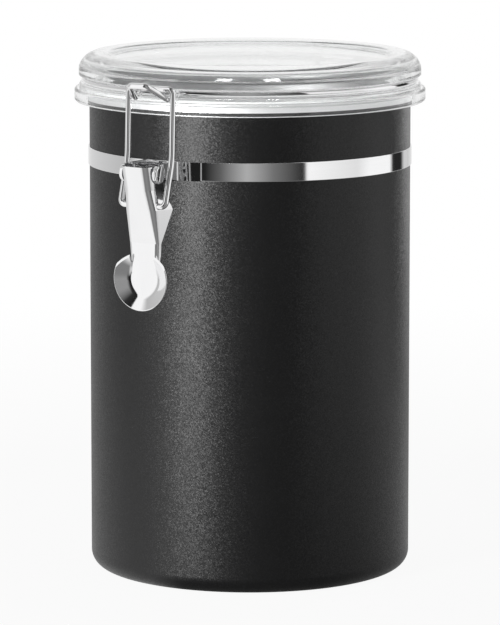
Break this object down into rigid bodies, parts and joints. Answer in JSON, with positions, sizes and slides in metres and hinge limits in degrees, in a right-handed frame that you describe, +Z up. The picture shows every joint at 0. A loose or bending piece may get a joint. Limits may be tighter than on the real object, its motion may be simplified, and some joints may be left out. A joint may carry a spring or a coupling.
{
  "type": "food canister",
  "caption": "Tall cylindrical steel food canister with a dark painted body, a clear hinged lid and an over-centre wire clamp.",
  "frame": {"origin": "centre of the flat base, on the surface that the canister stands on", "axes": "+Z up along the can's axis, -Y towards the clamp, +Y towards the lid's hinge"},
  "size_m": [0.1388, 0.1636, 0.2057],
  "materials": {
    "can": "matte black paint with fine metallic flake outside, bare steel rim and inside",
    "polished_steel": "polished stainless steel",
    "wire": "bright drawn stainless wire",
    "clear_plastic": "clear glossy moulded acrylic",
    "silicone": "translucent white silicone"
  },
  "bodies": {
    "can": {"body_shell": "can", "band": "polished_steel", "latch_bracket_left": "polished_steel", "latch_bracket_right": "polished_steel", "hinge_bracket_left": "polished_steel", "hinge_bracket_right": "polished_steel", "lever_pin": "polished_steel"},
    "lid": {"lid": "clear_plastic", "lid_gasket": "silicone", "lid_wire": "wire"},
    "lever": {"lever": "polished_steel"},
    "bail": {"bail": "wire"}
  },
  "joints": [
    {"name": "lid_hinge", "type": "hinge", "parent": "can", "child": "lid", "pos_m": [0, 0.076, 0.1653], "axis": [-1, 0, 0], "range_deg": [0, 110]},
    {"name": "lever_pivot", "type": "hinge", "parent": "can", "child": "lever", "pos_m": [0, -0.0775, 0.1653], "axis": [-1, 0, 0], "range_deg": [0, 95]},
    {"name": "bail_pivot", "type": "hinge", "parent": "lever", "child": "bail", "pos_m": [0, -0.077, 0.1529], "axis": [1, 0, 0], "range_deg": [0, 73.15]}
  ],
  "couplings": [
    {"joint": "bail_pivot", "follows": "lever_pivot", "ratio": 0.77}
  ]
}
